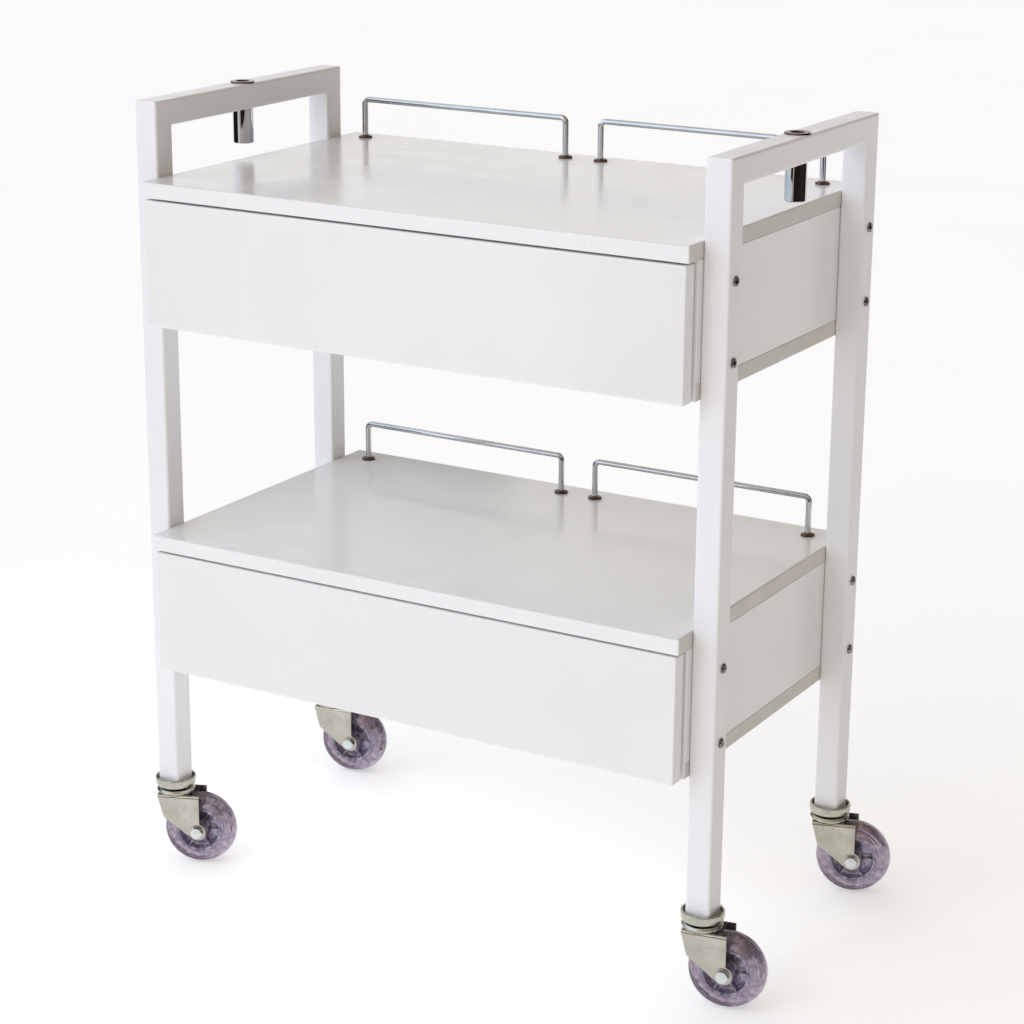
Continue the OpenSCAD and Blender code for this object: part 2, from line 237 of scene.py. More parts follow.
def boolean(bm, cutter, operation):
    """Combines two closed bmeshes and returns the result as a bmesh."""
    objects = []
    for part in (bm, cutter):
        mesh = bpy.data.meshes.new("part")
        bmesh.ops.recalc_face_normals(part, faces=part.faces)
        part.to_mesh(mesh)
        part.free()
        objects.append(link_object("part", mesh))
    step = objects[0].modifiers.new("cut", "BOOLEAN")
    step.operation = operation
    step.solver = "EXACT"
    step.object = objects[1]
    evaluated = objects[0].evaluated_get(bpy.context.evaluated_depsgraph_get())
    result = bmesh.new()
    result.from_mesh(evaluated.to_mesh())
    evaluated.to_mesh_clear()
    for piece in objects:
        mesh = piece.data
        bpy.data.objects.remove(piece)
        bpy.data.meshes.remove(mesh)
    return result


def soften(bm, edge, steps=2, angle=40):
    """Rounds every edge that is sharper than an angle."""
    weld = 1e-4
    even = math.radians(1)
    sharp = math.radians(angle)
    bmesh.ops.remove_doubles(bm, verts=bm.verts, dist=weld)
    bmesh.ops.dissolve_limit(bm, angle_limit=even, verts=bm.verts, edges=bm.edges)
    rims = [rim for rim in bm.edges if rim.is_manifold and rim.calc_face_angle() > sharp]
    bevel(bm, rims, edge, steps, clamp=True)


# ---- materials ----

# The values between which nearly all of a noise lies.
NOISE_SPREAD = (0.3, 0.7)


class Finish:
    """A Principled material, with short calls for the nodes that feed it."""

    def __init__(self, name, sockets):
        self.material = bpy.data.materials.new(name)
        self.material.use_nodes = True
        self.tree = self.material.node_tree
        self.shader = self.tree.nodes["Principled BSDF"]
        for socket, value in sockets.items():
            self.shader.inputs[socket].default_value = value
        self.place = self.tree.nodes.new("ShaderNodeTexCoord").outputs["Object"]

    def noise(self, scale, detail=2.0, stretch=(1, 1, 1)):
        """Noise of that many waves per metre, stretched along an axis by a small factor."""
        mapping = self.tree.nodes.new("ShaderNodeMapping")
        mapping.inputs["Scale"].default_value = stretch
        noise = self.tree.nodes.new("ShaderNodeTexNoise")
        noise.inputs["Scale"].default_value = scale
        noise.inputs["Detail"].default_value = detail
        self.tree.links.new(self.place, mapping.inputs["Vector"])
        self.tree.links.new(mapping.outputs["Vector"], noise.inputs["Vector"])
        return noise.outputs["Fac"]

    def colour(self, value, low, high, spread=NOISE_SPREAD):
        """Runs the base colour from low to high with a value."""
        ramp = self.tree.nodes.new("ShaderNodeValToRGB")
        for stop, position, colour in zip(ramp.color_ramp.elements, spread, (low, high)):
            stop.position = position
            stop.color = (*colour, 1)
        self.tree.links.new(value, ramp.inputs["Fac"])
        self.tree.links.new(ramp.outputs["Color"], self.shader.inputs["Base Color"])

    def roughness(self, value, low, high):
        """Runs the roughness from low to high with a value."""
        spread = self.tree.nodes.new("ShaderNodeMapRange")
        spread.inputs["From Min"].default_value = NOISE_SPREAD[0]
        spread.inputs["From Max"].default_value = NOISE_SPREAD[1]
        spread.inputs["To Min"].default_value = low
        spread.inputs["To Max"].default_value = high
        self.tree.links.new(value, spread.inputs["Value"])
        self.tree.links.new(spread.outputs["Result"], self.shader.inputs["Roughness"])

    def bump(self, height, distance):
        """Adds a bump of that many metres on top of those before it."""
        bump = self.tree.nodes.new("ShaderNodeBump")
        bump.inputs["Strength"].default_value = 1.0
        bump.inputs["Distance"].default_value = distance
        normal = self.shader.inputs["Normal"]
        if normal.is_linked:
            self.tree.links.new(normal.links[0].from_socket, bump.inputs["Normal"])
        self.tree.links.new(height, bump.inputs["Height"])
        self.tree.links.new(bump.outputs["Normal"], normal)


def powder_coat():
    """White powder coat: semi-gloss, with a fine orange peel."""
    finish = Finish("powder_coat_white", {"IOR": 1.5})
    finish.colour(finish.noise(7, 3), (0.80, 0.805, 0.82), (0.84, 0.845, 0.86))
    finish.roughness(finish.noise(60), 0.30, 0.40)
    finish.bump(finish.noise(420), 0.00003)
    finish.bump(finish.noise(1500), 0.000008)
    return finish.material


def melamine():
    """White melamine face: smooth and glossy, with a faint pearl structure."""
    finish = Finish("melamine_white", {"IOR": 1.5})
    finish.colour(finish.noise(5, 4), (0.79, 0.79, 0.775), (0.825, 0.825, 0.81))
    finish.roughness(finish.noise(25, 3), 0.14, 0.24)
    finish.bump(finish.noise(900), 0.000006)
    return finish.material


def edge_band():
    """White ABS edge band: a little cooler and duller than the melamine."""
    finish = Finish("edge_band_white", {"IOR": 1.48})
    finish.colour(finish.noise(9, 3), (0.81, 0.815, 0.82), (0.84, 0.845, 0.85))
    finish.roughness(finish.noise(40), 0.26, 0.36)
    finish.bump(finish.noise(700, 2), 0.000004)
    return finish.material


def end_band():
    """The greyer, duller band on the ends of the cabinets' boards."""
    finish = Finish("end_band_grey", {"IOR": 1.46})
    finish.colour(finish.noise(22, 3), (0.61, 0.59, 0.55), (0.66, 0.64, 0.60))
    finish.roughness(finish.noise(60), 0.42, 0.55)
    finish.bump(finish.noise(900, 2), 0.000008)
    return finish.material


def drawer_sheet():
    """White lacquered hardboard, with the faint grain of its fibres."""
    finish = Finish("drawer_sheet_white", {"IOR": 1.5})
    finish.colour(finish.noise(14, 4), (0.72, 0.71, 0.68), (0.77, 0.76, 0.73))
    finish.roughness(finish.noise(120, 4), 0.38, 0.52)
    finish.bump(finish.noise(700, 4), 0.00003)
    return finish.material


def chrome():
    """Bright chrome, with hair scratches and a little haze."""
    finish = Finish("bright_chrome", {"Metallic": 1.0})
    finish.colour(finish.noise(30, 3), (0.50, 0.51, 0.52), (0.60, 0.61, 0.62))
    finish.roughness(finish.noise(90, 3), 0.04, 0.09)
    finish.bump(finish.noise(500, 2, (1, 1, 0.05)), 0.000002)
    return finish.material


def zinc():
    """Zinc plate: greyish steel with a warm, faintly green passivation."""
    finish = Finish("zinc_plate", {"Metallic": 1.0})
    finish.colour(finish.noise(45, 3), (0.42, 0.405, 0.345), (0.58, 0.565, 0.50))
    finish.roughness(finish.noise(160, 3), 0.16, 0.3)
    finish.bump(finish.noise(900), 0.000003)
    return finish.material


def bluish_zinc_painted_highlight():
    """The axle bolts' bluish zinc, lighter than the fork's zinc as a painted highlight."""
    finish = Finish("zinc_bluish_painted_highlight", {"Metallic": 1.0})
    # The raised lightness of this colour is painted highlight on the bolts.
    finish.colour(finish.noise(150, 3), (0.56, 0.60, 0.60), (0.74, 0.78, 0.77))
    finish.roughness(finish.noise(300, 3), 0.12, 0.24)
    finish.bump(finish.noise(1800), 0.000003)
    return finish.material


def flange_painted_reflection():
    """Dark brown metal of the thin flanges: painted reflection of a dark room in their plating."""
    finish = Finish("flange_painted_reflection", {"Metallic": 1.0})
    finish.colour(finish.noise(250, 3), (0.07, 0.045, 0.04), (0.16, 0.10, 0.08))
    finish.roughness(finish.noise(500), 0.18, 0.32)
    finish.bump(finish.noise(1600), 0.000004)
    return finish.material


def dark_screws():
    """Dark plated steel of the screws, with lighter patches painted in as highlight specks."""
    finish = Finish("dark_plated_steel", {"Metallic": 1.0})
    # The colour's light end paints highlight specks onto the dark steel.
    finish.colour(finish.noise(600, 3), (0.07, 0.065, 0.06), (0.42, 0.41, 0.40))
    finish.roughness(finish.noise(900), 0.18, 0.34)
    finish.bump(finish.noise(2500), 0.00001)
    return finish.material


def runner_steel():
    """White epoxy over the runners' sheet steel."""
    finish = Finish("runner_epoxy_white", {"IOR": 1.5})
    finish.colour(finish.noise(20, 3), (0.70, 0.70, 0.68), (0.76, 0.76, 0.74))
    finish.roughness(finish.noise(150), 0.32, 0.46)
    finish.bump(finish.noise(800), 0.00002)
    return finish.material


def nylon():
    """Natural nylon: milky, with a turned surface."""
    finish = Finish("natural_nylon", {"Subsurface Weight": 0.2, "Subsurface Scale": 0.002})
    finish.colour(finish.noise(120, 3), (0.74, 0.73, 0.68), (0.82, 0.81, 0.77))
    finish.roughness(finish.noise(400), 0.36, 0.5)
    finish.bump(finish.noise(1800), 0.00001)
    return finish.material


def clear_plastic(name, low, high, transmission):
    """Violet-grey clear plastic, cloudy in patches, with a wavy moulded skin. The core's very dark
    blue and pale patches are painted shade and highlights.
    """
    finish = Finish(name, {"IOR": 1.46, "Transmission Weight": transmission})
    finish.colour(finish.noise(190, 3), low, high, (0.34, 0.66))
    finish.roughness(finish.noise(130, 4), 0.03, 0.16)
    finish.bump(finish.noise(95, 2), 0.0012)
    finish.bump(finish.noise(300, 3), 0.00012)
    return finish.material


FINISHES = {
    "powder_coat": powder_coat(),
    "melamine": melamine(),
    "drawer_sheet": drawer_sheet(),
    "chrome": chrome(),
    "zinc": zinc(),
    "dark_screws": dark_screws(),
    "runner_steel": runner_steel(),
    "nylon": nylon(),
    "clear_tyre": clear_plastic("clear_tyre", (0.24, 0.19, 0.29), (0.58, 0.49, 0.57), 0.82),
    # The core's dark blue low end and pale high end paint refracted shade and glints into its
    # colour.
    "clear_core": clear_plastic("clear_core", (0.10, 0.09, 0.24), (0.66, 0.60, 0.68), 0.7),
}
EDGE_BAND = edge_band()
END_BAND = end_band()
BLUISH_ZINC_PAINTED_HIGHLIGHT = bluish_zinc_painted_highlight()
# Dark brown painted reflection for the thin flanges.
FLANGE_PAINTED_REFLECTION = flange_painted_reflection()


def new_object(name, mesh):
    """Makes an object of a mesh, its flat faces shaded flat up to their rounded rims."""
    largest_face_wins = 100
    piece = link_object(name, mesh)
    flats = piece.modifiers.new("flats", "WEIGHTED_NORMAL")
    flats.weight = largest_face_wins
    flats.keep_sharp = True
    return piece


def add_piece(name, mesh, body, slot, replaces=(), extra=()):
    """Makes a piece of a mesh, gives it its finish and puts it on its body."""
    if not mesh.materials:
        for material in (FINISHES[slot], *extra):
            mesh.materials.append(material)
    piece = new_object(name, mesh)
    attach(piece, body)
    if replaces:
        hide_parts(*replaces)
    return piece


def finish_cad_nodes():
    """Gives every CAD node that stays visible its finish."""
    for node in frame["nodes"].values():
        slot = node.material_slots[0].material.name
        node.material_slots[0].material = FINISHES[slot]


# ---- boards ----

# The material slots of a board's bands. Its faces have the first slot.
BAND_SLOT, END_SLOT = 1, 2


def add_board(node, body, banded, edge=0.8, band=1.0):
    """A board in the place of its CAD node: banded names its (axis, sign) edges with a band."""
    low, high = node_box(node)
    bm = bmesh.new()
    add_box(bm, low, high, edge, 3)
    for axis, sign in banded:
        seam = low[axis] + band if sign < 0 else high[axis] - band
        slot = END_SLOT if axis == 0 and body == "frame" else BAND_SLOT
        bmesh.ops.bisect_plane(
            bm,
            geom=bm.verts[:] + bm.edges[:] + bm.faces[:],
            plane_co=Vector([seam if k == axis else 0 for k in range(3)]),
            plane_no=Vector([sign if k == axis else 0 for k in range(3)]),
        )
        for face in bm.faces:
            if (face.calc_center_median()[axis] - seam) * sign > 0:
                face.material_index = slot
    mesh = make_mesh(bm, f"{node}_banded")
    add_piece(f"{node}_banded", mesh, body, "melamine", [node], [EDGE_BAND, END_BAND])


def add_cabinet(tier):
    """The five boards of a cabinet."""
    ends = [(0, -1), (0, 1)]
    fronts = [(1, -1), (1, 1)]
    add_board(f"{tier}_top_board", "frame", ends + fronts, edge=1.0, band=2.0)
    add_board(f"{tier}_bottom_board", "frame", ends + fronts)
    for side in SIDES:
        add_board(f"{tier}_{side}_side_panel", "frame", fronts)
    add_board(f"{tier}_back_panel", "frame", [])


def add_drawer(tier):
    """The front, sides and back of a drawer; its bottom sheet is the CAD's."""
    body = f"{tier}_drawer"
    rim = [(0, -1), (0, 1), (2, -1), (2, 1)]
    top = [(2, 1)]
    add_board(f"{body}_front", body, rim, edge=1.5, band=2.0)
    for side in SIDES:
        add_board(f"{body}_{side}_side", body, top, edge=0.5)
    add_board(f"{body}_back", body, top, edge=0.5)


# ---- side frames ----


def add_frame_welds():
    """Fillet welds inside the four corners of the side frames, under the powder coat."""
    length, bead, ripple, ripples = 20.0, 1.9, 0.18, 11
    sink = 0.3
    count = 56
    for side in SIDES:
        rail_low, rail_high = node_box(f"{side}_top_rail")
        for end, sign in (("front", -1), ("rear", 1)):
            leg_low, leg_high = node_box(f"{side}_{end}_leg")
            inner_y = leg_high.y if sign < 0 else leg_low.y
            middle_x = (rail_low.x + rail_high.x) / 2
            bm = bmesh.new()
            path = []
            sizes = []
            for k in range(count + 1):
                share = k / count
                path.append((middle_x + length * (share - 0.5), 0, 0))
                wave = ripple * math.sin(share * 2 * math.pi * ripples)
                taper = min(1.0, 6 * min(share, 1 - share) + 0.35)
                sizes.append((bead + wave) * taper)
            add_rod(bm, path, sizes, 16)
            shift = Vector((0, inner_y - sign * sink, rail_low.z - sink))
            bmesh.ops.translate(bm, vec=shift, verts=bm.verts)
            name = f"{side}_{end}_weld"
            add_piece(name, make_mesh(bm, name, 60), "frame", "powder_coat")


def add_sockets():
    """The chromed sockets through the top rails."""
    bore, outer, flange_height = 6.5, 10.0, 1.6
    for side in SIDES:
        node = f"{side}_accessory_socket"
        low, high = node_box(node)
        centre = (low + high) / 2
        flange = (high.x - low.x) / 2
        seat = high.z - flange_height
        bm = bmesh.new()
        profile = [(bore, low.z, 0.5), (outer, low.z, 0.8), (outer, seat, 0), (flange, seat, 0.2)]
        profile += [(flange, high.z, 0.9), (bore, high.z, 1.1)]
        add_lathe(bm, rounded(profile, 0.3, 5), Matrix.Translation((centre.x, centre.y, 0)), 72)
        # The flange above the seat takes the dark brown painted reflection.
        for face in bm.faces:
            face.material_index = int(face.calc_center_median().z > seat)
        turned = make_mesh(bm, node)
        add_piece(f"{node}_turned", turned, "frame", "chrome", [node], [FLANGE_PAINTED_REFLECTION])


HEAD_R = 4.6


def pan_head():
    """A pan head screw's head along +X with its cross recess, its seat on the YZ plane."""
    bm = bmesh.new()
    dome = [(0, -0.6, 0), (3.0, -0.6, 0), (HEAD_R, 0, 0.1), (HEAD_R, 1.1, 0.5)]
    dome += [(HEAD_R - 0.9, 2.3, 1.2), (0, 2.8, 0)]
    add_lathe(bm, rounded(dome, 0.3), TURN_Y, 48)
    cross = bmesh.new()
    arm, slot, depth, tip = 2.4, 0.55, 0.9, 0.3
    outline = [(arm, -slot), (arm, slot), (slot, slot), (slot, arm), (-slot, arm), (-slot, slot)]
    outline += [(-x, -y) for x, y in outline]
    add_plate(cross, outline, depth, 4.0, 0, TURN_Y)
    for vert in cross.verts:
        if vert.co.x < depth + 1:
            vert.co.y *= tip
            vert.co.z *= tip
    return make_mesh(boolean(bm, cross, "DIFFERENCE"), "pan_head")


def add_frame_screws():
    """Sixteen pan heads, four up each leg, where the CAD's screws are."""
    low, high = node_box("frame_screws")
    mesh = pan_head()
    middle = {}
    for tier in TIERS:
        bottom = node_box(f"{tier}_bottom_board")[0].z
        top = node_box(f"{tier}_top_board")[1].z
        middle[tier] = (bottom + top) / 2
    rise = high.z - HEAD_R - middle["upper"]
    for side, sign in SIDES.items():
        for end in ("front", "rear"):
            leg_low, leg_high = node_box(f"{side}_{end}_leg")
            seat = leg_high.x if sign > 0 else leg_low.x
            y = low.y + HEAD_R if end == "front" else high.y - HEAD_R
            for tier in TIERS:
                for row, step in (("top", rise), ("bottom", -rise)):
                    spot = Vector((seat, y, middle[tier] + step)) * MM
                    name = f"{side}_{end}_{tier}_{row}_screw"
                    piece = new_object(name, mesh)
                    driven = math.radians(17 + 31 * len(name))
                    spin = Matrix.Rotation(driven, 4, "X")
                    flip = Matrix.Rotation(0 if sign > 0 else math.pi, 4, "Z")
                    piece.matrix_world = Matrix.Translation(spot) @ flip @ spin
                    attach(piece, "frame")
                    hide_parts("frame_screws")
    mesh.materials.append(FINISHES["dark_screws"])


# ---- gallery rails ----


def gallery_path(low, high, posts, r):
    """The bent rod's middle line, and its radius at each point."""
    bend, chamfer, rise = 5.5, 0.5, 0.6
    steps = 12
    left, right = posts
    top = high.z - r
    path = [(left, 0, low.z), (left, 0, low.z + rise), (left, 0, top - bend)]
    for post, start in ((left + bend, 180), (right - bend, 90)):
        for k in range(1, steps + 1):
            turn = math.radians(start - 90 * k / steps)
            path.append((post + bend * math.cos(turn), 0, top - bend + bend * math.sin(turn)))
    path += [(right, 0, low.z + rise), (right, 0, low.z)]
    sizes = [r - chamfer] + [r] * (len(path) - 2) + [r - chamfer]
    return path, sizes


def add_gallery_rail(tier, side):
    """One bent rod with its two flanges and the nuts and washers under the board."""
    node = f"{tier}_{side}_gallery_rail"
    low, high = node_box(node)
    r = (high.y - low.y) / 2
    y = (low.y + high.y) / 2
    posts = (low.x + r, high.x - r)
    path, sizes = gallery_path(low, high, posts, r)
    bm = bmesh.new()
    add_rod(bm, path, sizes, 32)
    bmesh.ops.translate(bm, vec=(0, y, 0), verts=bm.verts)
    add_piece(f"{node}_rod", make_mesh(bm, node), "frame", "chrome", [node])

    board_low, board_high = node_box(f"{tier}_top_board")
    flange_r, washer_r, washer_height = 7.0, 6.0, 1.0
    flange = [(r, 0, 0), (flange_r, 0, 0.2), (flange_r, 1.9, 0.5), (flange_r - 1.6, 2.6, 0.5)]
    flange += [(r + 0.6, 3.0, 0.3), (r, 2.4, 0)]
    washer = [(r, -washer_height, 0), (washer_r, -washer_height, 0.2)]
    washer += [(washer_r, 0, 0.1), (r, 0, 0)]
    nut_seat = Matrix.Translation((0, 0, 0.1 - washer_height)) @ Matrix.Rotation(math.pi, 4, "X")
    flanges, nuts = bmesh.new(), bmesh.new()
    for post in posts:
        add_lathe(flanges, rounded(flange, 0.3), Matrix.Translation((post, y, board_high.z)), 48)
        under = Matrix.Translation((post, y, board_low.z))
        add_lathe(nuts, rounded(washer, 0.2), under, 48)
        add_hexagon(nuts, 10, 4.1, under @ nut_seat)
    prefix = f"{tier}_{side}_gallery"
    rings = make_mesh(flanges, prefix)
    # The flanges take the dark brown painted reflection.
    rings.materials.append(FLANGE_PAINTED_REFLECTION)
    add_piece(f"{prefix}_flanges", rings, "frame", "chrome", ["gallery_flanges"])
    add_piece(f"{prefix}_nuts", make_mesh(nuts, prefix), "frame", "zinc", ["gallery_nuts"])


# ---- runners ----


def countersunk(bm, spot, facing):
    """Adds a flush screw head in a steel web, facing along X."""
    place = Matrix.Translation(spot) @ Matrix.Rotation(QUARTER * facing, 4, "Y")
    head = [(0, -0.5, 0), (2.8, -0.5, 0), (2.8, 0.15, 0.1)]
    head += [(1.1, 0.22, 0), (0.7, -0.3, 0), (0, -0.3, 0)]
    add_lathe(bm, rounded(head, 0.1, 2), place, 24)


# The runners' sheet thickness, and where along Y their roller pins are.
STEEL = 1.2
CHANNEL_PIN_Y = -150.0
ANGLE_PIN_Y = 126.0


def channel_section(low, high):
    """The right-hand channel's section, its web's inner face, its pin's ends and the pin's cap."""
    web, lip, foot = high.x, high.x - 5.2, high.x - 10.8
    inner = web - STEEL
    outline = [(web, low.z), (web, high.z), (lip, high.z), (lip, high.z - STEEL)]
    outline += [(inner, high.z - STEEL), (inner, low.z + STEEL)]
    outline += [(foot, low.z + STEEL), (foot, low.z)]
    return outline, inner, (inner - 9.3, inner + 0.2), inner - 9.6


def angle_section(low, high, web):
    """The same four things of the angle on the drawer's right-hand side."""
    foot, lip = web - 12.0, web + 6.8
    inner = web + STEEL
    outline = [(web, low.z + STEEL), (foot, low.z + STEEL), (foot, low.z)]
    outline += [(inner, low.z), (inner, high.z - STEEL)]
    outline += [(lip, high.z - STEEL), (lip, high.z), (web, high.z)]
    return outline, inner, (inner - 0.5, inner + 9.1), inner + 8.9


def add_pin(bm, ends, radius, y, z):
    """Adds a rod along X between two ends in any order."""
    start, stop = sorted(ends)
    rod = [(0, 0, 0), (radius, 0, 0.2), (radius, stop - start, 0.2), (0, stop - start, 0)]
    add_lathe(bm, rounded(rod, 0.2, 2), Matrix.Translation((start, y, z)) @ TURN_Y, 32)


def add_runner_pair(node, body, right_hand, pin_y, facing):
    """Adds the runners of both sides, with their roller pins and screws."""
    low, high = node_box(node)
    outline, inner, pin, cap = right_hand
    pin_r, cap_r, cap_height = 2.0, 3.4, 0.7
    axis_z = high.z - 11.0
    screw_z = axis_z + 6.0
    bm, screws = bmesh.new(), bmesh.new()
    for sign in SIDES.values():
        section = [(x * sign, z) for x, z in outline]
        add_plate(bm, rounded(section, 0.5, 3), -high.y, -low.y, 0.25, TURN_X)
        add_pin(bm, [x * sign for x in pin], pin_r, pin_y, axis_z)
        add_pin(bm, [x * sign for x in (cap, cap + cap_height)], cap_r, pin_y, axis_z)
        for share in (0.14, 0.5, 0.86):
            y = low.y + (high.y - low.y) * share
            countersunk(screws, (inner * sign, y, screw_z), facing * sign)
    add_piece(f"{node}_bent", make_mesh(bm, node), body, "runner_steel", [node])
    add_piece(f"{node}_screws", make_mesh(screws, node), body, "zinc")


def add_runners(tier):
    """The channels on the cabinet and the angles on the drawer, bent from sheet steel."""
    node = f"{tier}_cabinet_runners"
    add_runner_pair(node, "frame", channel_section(*node_box(node)), CHANNEL_PIN_Y, -1)
    node = f"{tier}_drawer_runners"
    web = node_box(f"{tier}_drawer_right_side")[1].x
    right_hand = angle_section(*node_box(node), web)
    add_runner_pair(node, f"{tier}_drawer", right_hand, ANGLE_PIN_Y, 1)


def add_rollers(tier):
    """The nylon rollers, with their hubs and treads."""
    bore, hub, tread, width, dip = 2.05, 4.4, 7.6, 7.2, 0.7
    for pair in ("front", "rear"):
        node = f"{tier}_{pair}_rollers"
        low, high = node_box(node)
        radius = (high.z - low.z) / 2
        face = [(bore, 0), (hub, 0), (hub + 0.4, dip), (tread - 0.4, dip), (tread, 0)]
        profile = face + [(radius, 0, 0.8), (radius, width, 0.8)]
        profile += [(r, width - z) for r, z in reversed(face)]
        bm = bmesh.new()
        for start in (low.x, high.x - width):
            spot = Matrix.Translation((start, (low.y + high.y) / 2, (low.z + high.z) / 2))
            place = spot @ TURN_Y
            add_lathe(bm, rounded(profile, 0.2, 2), place, 48)
        add_piece(f"{node}_turned", make_mesh(bm, node), node, "nylon", [node])


# ---- casters: drawn with the trail along +X, the swivel axis on Z and the floor at z = 0 ----

TRAIL = 25.5
FORK_TOP = 76.5
FORK_HALF = 17.5
SHEET = 2.2
AXLE_Z = 37.5


def swivel_cup():
    """The cup that holds the leg's foot, with its threaded stem and the rivet below."""
    bm = bmesh.new()
    rivet_z, cup_z, rim_z, stem_z = 70.9, 81.6, 92.6, 108.0
    stem_r, cup_r, wall = 5.0, 20.5, 2.2
    floor_z = cup_z + 2.4
    profile = [(0, rivet_z, 0), (6.6, rivet_z, 1.5), (8.0, 73.7, 0.5), (stem_r, 73.9, 0)]
    profile += [(stem_r, cup_z, 0), (cup_r - 5.4, cup_z, 2.0), (cup_r - 0.8, floor_z, 2.6)]
    profile += [(cup_r, cup_z + 5.8, 2.6), (cup_r, rim_z, 0.9), (cup_r - wall, rim_z, 0.9)]
    profile += [(cup_r - wall, cup_z + 5.6, 2.0), (cup_r - 4.1, floor_z, 1.0)]
    profile += [(stem_r, floor_z, 0), (stem_r, stem_z, 0.8), (0, stem_z, 0)]
    add_lathe(bm, rounded(profile, 0.5, 5), steps=96)
    return make_mesh(bm, "swivel_cup")


def race_ring():
    """The raised ball race on the fork's top."""
    bm = bmesh.new()
    bore, outer = 5.05, 19.5
    low, inside, high = FORK_TOP - 0.4, FORK_TOP + 3.4, FORK_TOP + 4.5
    profile = [(bore, low, 0), (17.2, low, 0.3), (outer, FORK_TOP + 0.9, 1.2)]
    profile += [(outer, FORK_TOP + 2.6, 1.0), (17.8, high, 1.2), (12.0, high, 0.6)]
    profile += [(10.5, inside, 0.6), (bore, inside, 0)]
    add_lathe(bm, rounded(profile, 0.4, 5), steps=96)
    return make_mesh(bm, "race_ring")


def cheek_outline():
    """The side of the fork: a sloping front, a round boss at the axle and an upright rear edge."""
    boss, past_axle, steps = 9.0, 2.5, 32
    nose_x, above = -15.7, FORK_TOP + 5
    front = Vector((-9.5, 52.5))
    axle = Vector((TRAIL, AXLE_Z))
    reach = axle - front
    turn = math.atan2(reach.y, reach.x) - math.asin(boss / reach.length)
    tangent = math.sqrt(reach.length**2 - boss**2)
    foot = front + tangent * Vector((math.cos(turn), math.sin(turn)))
    start = math.atan2(foot.y - axle.y, foot.x - axle.x)
    stop = math.acos(past_axle / boss)
    outline = [(nose_x, above), (nose_x, FORK_TOP), tuple(front)]
    for k in range(steps + 1):
        angle = start + (stop - start) * k / steps
        outline.append((axle.x + boss * math.cos(angle), axle.y + boss * math.sin(angle)))
    outline.append((TRAIL + past_axle, above))
    return outline


def fork_sheet():
    """The fork folded from one sheet: a U section trimmed to the cheeks' outline."""
    inner = FORK_HALF - SHEET
    ceiling = FORK_TOP - SHEET
    bend, inner_bend, foot, reach = 3.2, 1.0, 20, 40
    section = [(-FORK_HALF, foot, 0), (-FORK_HALF, FORK_TOP, bend), (FORK_HALF, FORK_TOP, bend)]
    section += [(FORK_HALF, foot, 0), (inner, foot, 0), (inner, ceiling, inner_bend)]
    section += [(-inner, ceiling, inner_bend), (-inner, foot, 0)]
    channel, outline, notch = bmesh.new(), bmesh.new(), bmesh.new()
    add_plate(channel, rounded(section, 0, 6), -reach, reach, 0, TURN_Z @ TURN_X)
    add_plate(outline, cheek_outline(), -30, 30, 0, TURN_X)
    add_box(notch, (16, -inner - 0.01, 60), (50, inner + 0.01, 90))
    sheet = boolean(channel, outline, "INTERSECT")
    sheet = boolean(sheet, notch, "DIFFERENCE")
    soften(sheet, 0.45)
    return make_mesh(sheet, "fork_sheet", 40)


def wheel_place():
    """From a wheel's own axis on Z to its place in the caster."""
    return Matrix.Translation((TRAIL, 0, AXLE_Z)) @ TURN_X


def axle_bolt():
    """The axle: hexagon head and washer on the near side, nut and washer on the far side."""
    bm = bmesh.new()
    near = wheel_place()
    far = Matrix.Translation((TRAIL, 0, AXLE_Z)) @ Matrix.Rotation(-QUARTER, 4, "X")
    axle_r, washer_r = 4, 7.4
    tail, seat = -21, FORK_HALF + 1
    shank = [(0, tail, 0), (axle_r, tail, 0.6), (axle_r, 19, 0.2), (0, 19, 0)]
    washer = [(axle_r, FORK_HALF, 0), (washer_r, FORK_HALF, 0.2), (washer_r, seat, 0.3)]
    washer.append((axle_r, seat, 0))
    add_lathe(bm, rounded(shank, 0.3, 3), near, 40)
    for side, across, height in ((near, 11, 3.5), (far, 12, 4.6)):
        add_hexagon(bm, across, height, side @ Matrix.Translation((0, 0, seat)))
    heads = len(bm.faces)
    for side in (near, far):
        add_lathe(bm, rounded(washer, 0.2, 3), side, 48)
    for k, face in enumerate(bm.faces):
        face.material_index = int(k >= heads)
    return make_mesh(bm, "axle_bolt")


def tyre():
    """The crowned tyre, with a bevelled shoulder on each side."""
    bm = bmesh.new()
    half, inner, crown, outer = 11.5, 24.0, 16.0, 37.5
    steps = 9
    shoulder = outer - crown + math.sqrt(crown**2 - half**2) - 2.2
    profile = [(inner, -half + 1.0, 0.4), (inner + 1.4, -half, 0.6), (shoulder, -half, 1.2)]
    for k in range(-steps, steps + 1):
        offset = (half - 1.2) * k / steps
        profile.append((outer - crown + math.sqrt(crown**2 - offset**2), offset, 0))
    profile += [(shoulder, half, 1.2), (inner + 1.4, half, 0.6), (inner, half - 1.0, 0.4)]
    add_lathe(bm, rounded(profile, 0.5, 4), wheel_place(), 128)
    return make_mesh(bm, "tyre")


